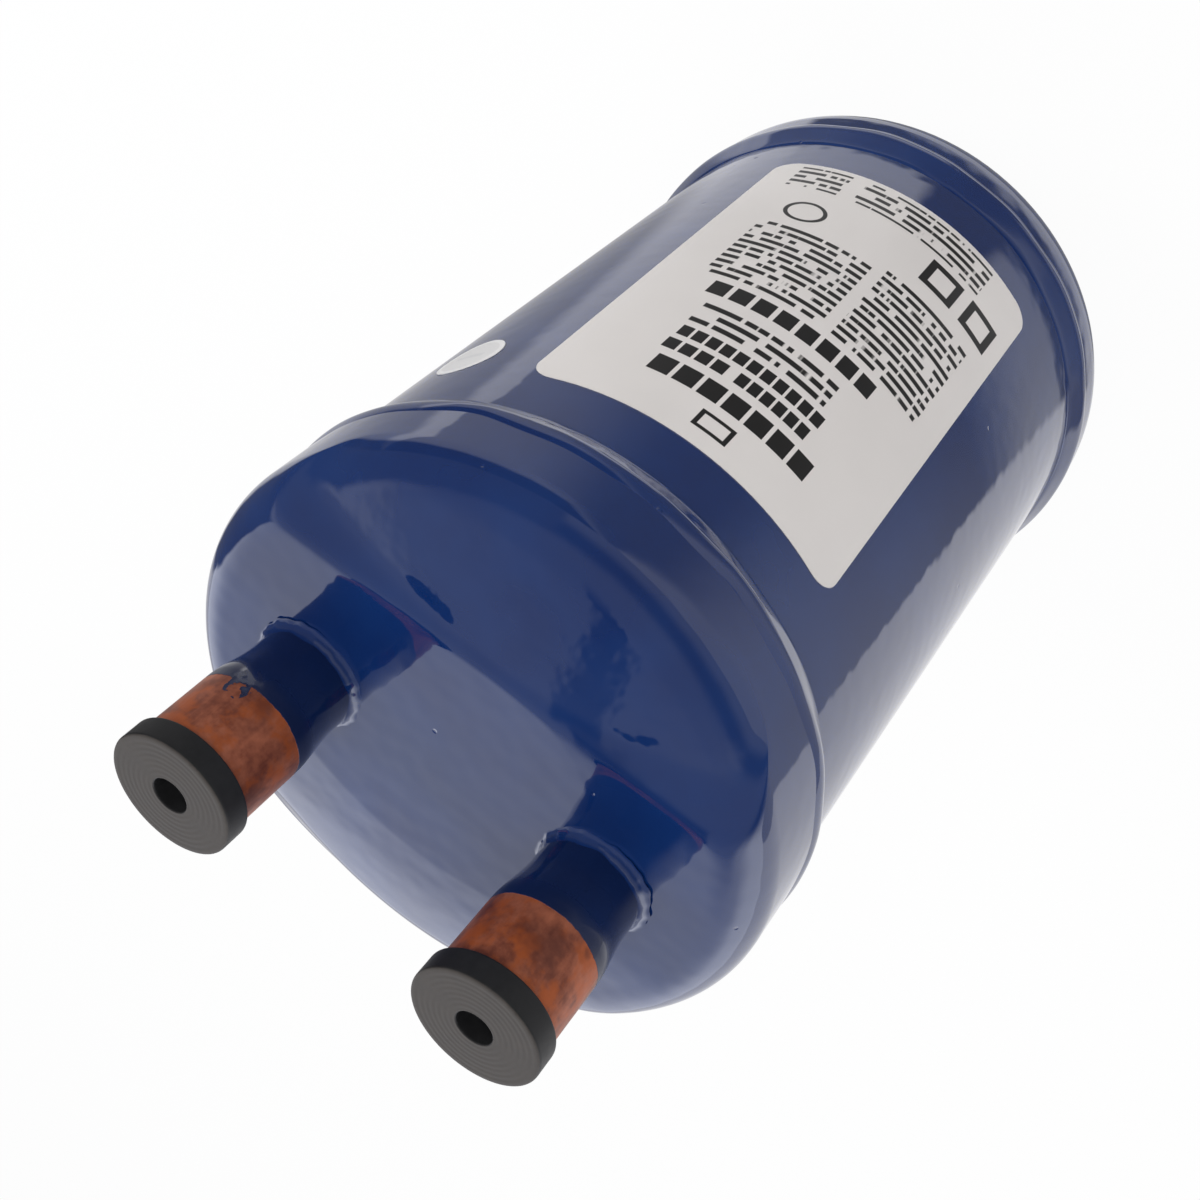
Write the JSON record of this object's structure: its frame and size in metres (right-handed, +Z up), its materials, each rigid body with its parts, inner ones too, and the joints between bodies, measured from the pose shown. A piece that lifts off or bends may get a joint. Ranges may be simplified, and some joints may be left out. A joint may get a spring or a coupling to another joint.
{
  "type": "suction line accumulator",
  "caption": "Upright welded steel refrigerant accumulator with dished heads, copper solder stubs closed by shipping plugs, and an oil-return U-tube inside.",
  "frame": {"origin": "centre of the flat under the bottom head", "axes": "+Z up along the shell toward the stubs, +X from the inlet stub to the outlet stub, label on the -Y side"},
  "size_m": [0.1326, 0.1326, 0.2675],
  "materials": {
    "blue_paint": "deep blue gloss paint, slightly uneven, over welded steel",
    "copper": "bare copper, blotched brown; the outer stubs are painted up to half their height",
    "black_rubber": "black, with a greyer end face",
    "plain_steel": "plain sheet steel",
    "yellow_brass": "plain turned brass",
    "label_paper": "white adhesive label with plain fields in place of print"
  },
  "bodies": {
    "root": {"shell_tube": "blue_paint", "top_head": "blue_paint", "bottom_head": "blue_paint", "top_weld": "blue_paint", "bottom_weld": "blue_paint", "inlet_stub": "copper", "outlet_stub": "copper", "inlet_braze": "blue_paint", "outlet_braze": "blue_paint", "inlet_plug": "black_rubber", "outlet_plug": "black_rubber", "inlet_deflector": "plain_steel", "u_tube": "copper", "u_tube_coupling": "copper", "u_tube_strap": "plain_steel", "oil_orifice": "yellow_brass", "oil_screen": "yellow_brass", "screen_cap": "yellow_brass", "label": "label_paper", "round_sticker": "label_paper"}
  },
  "joints": []
}
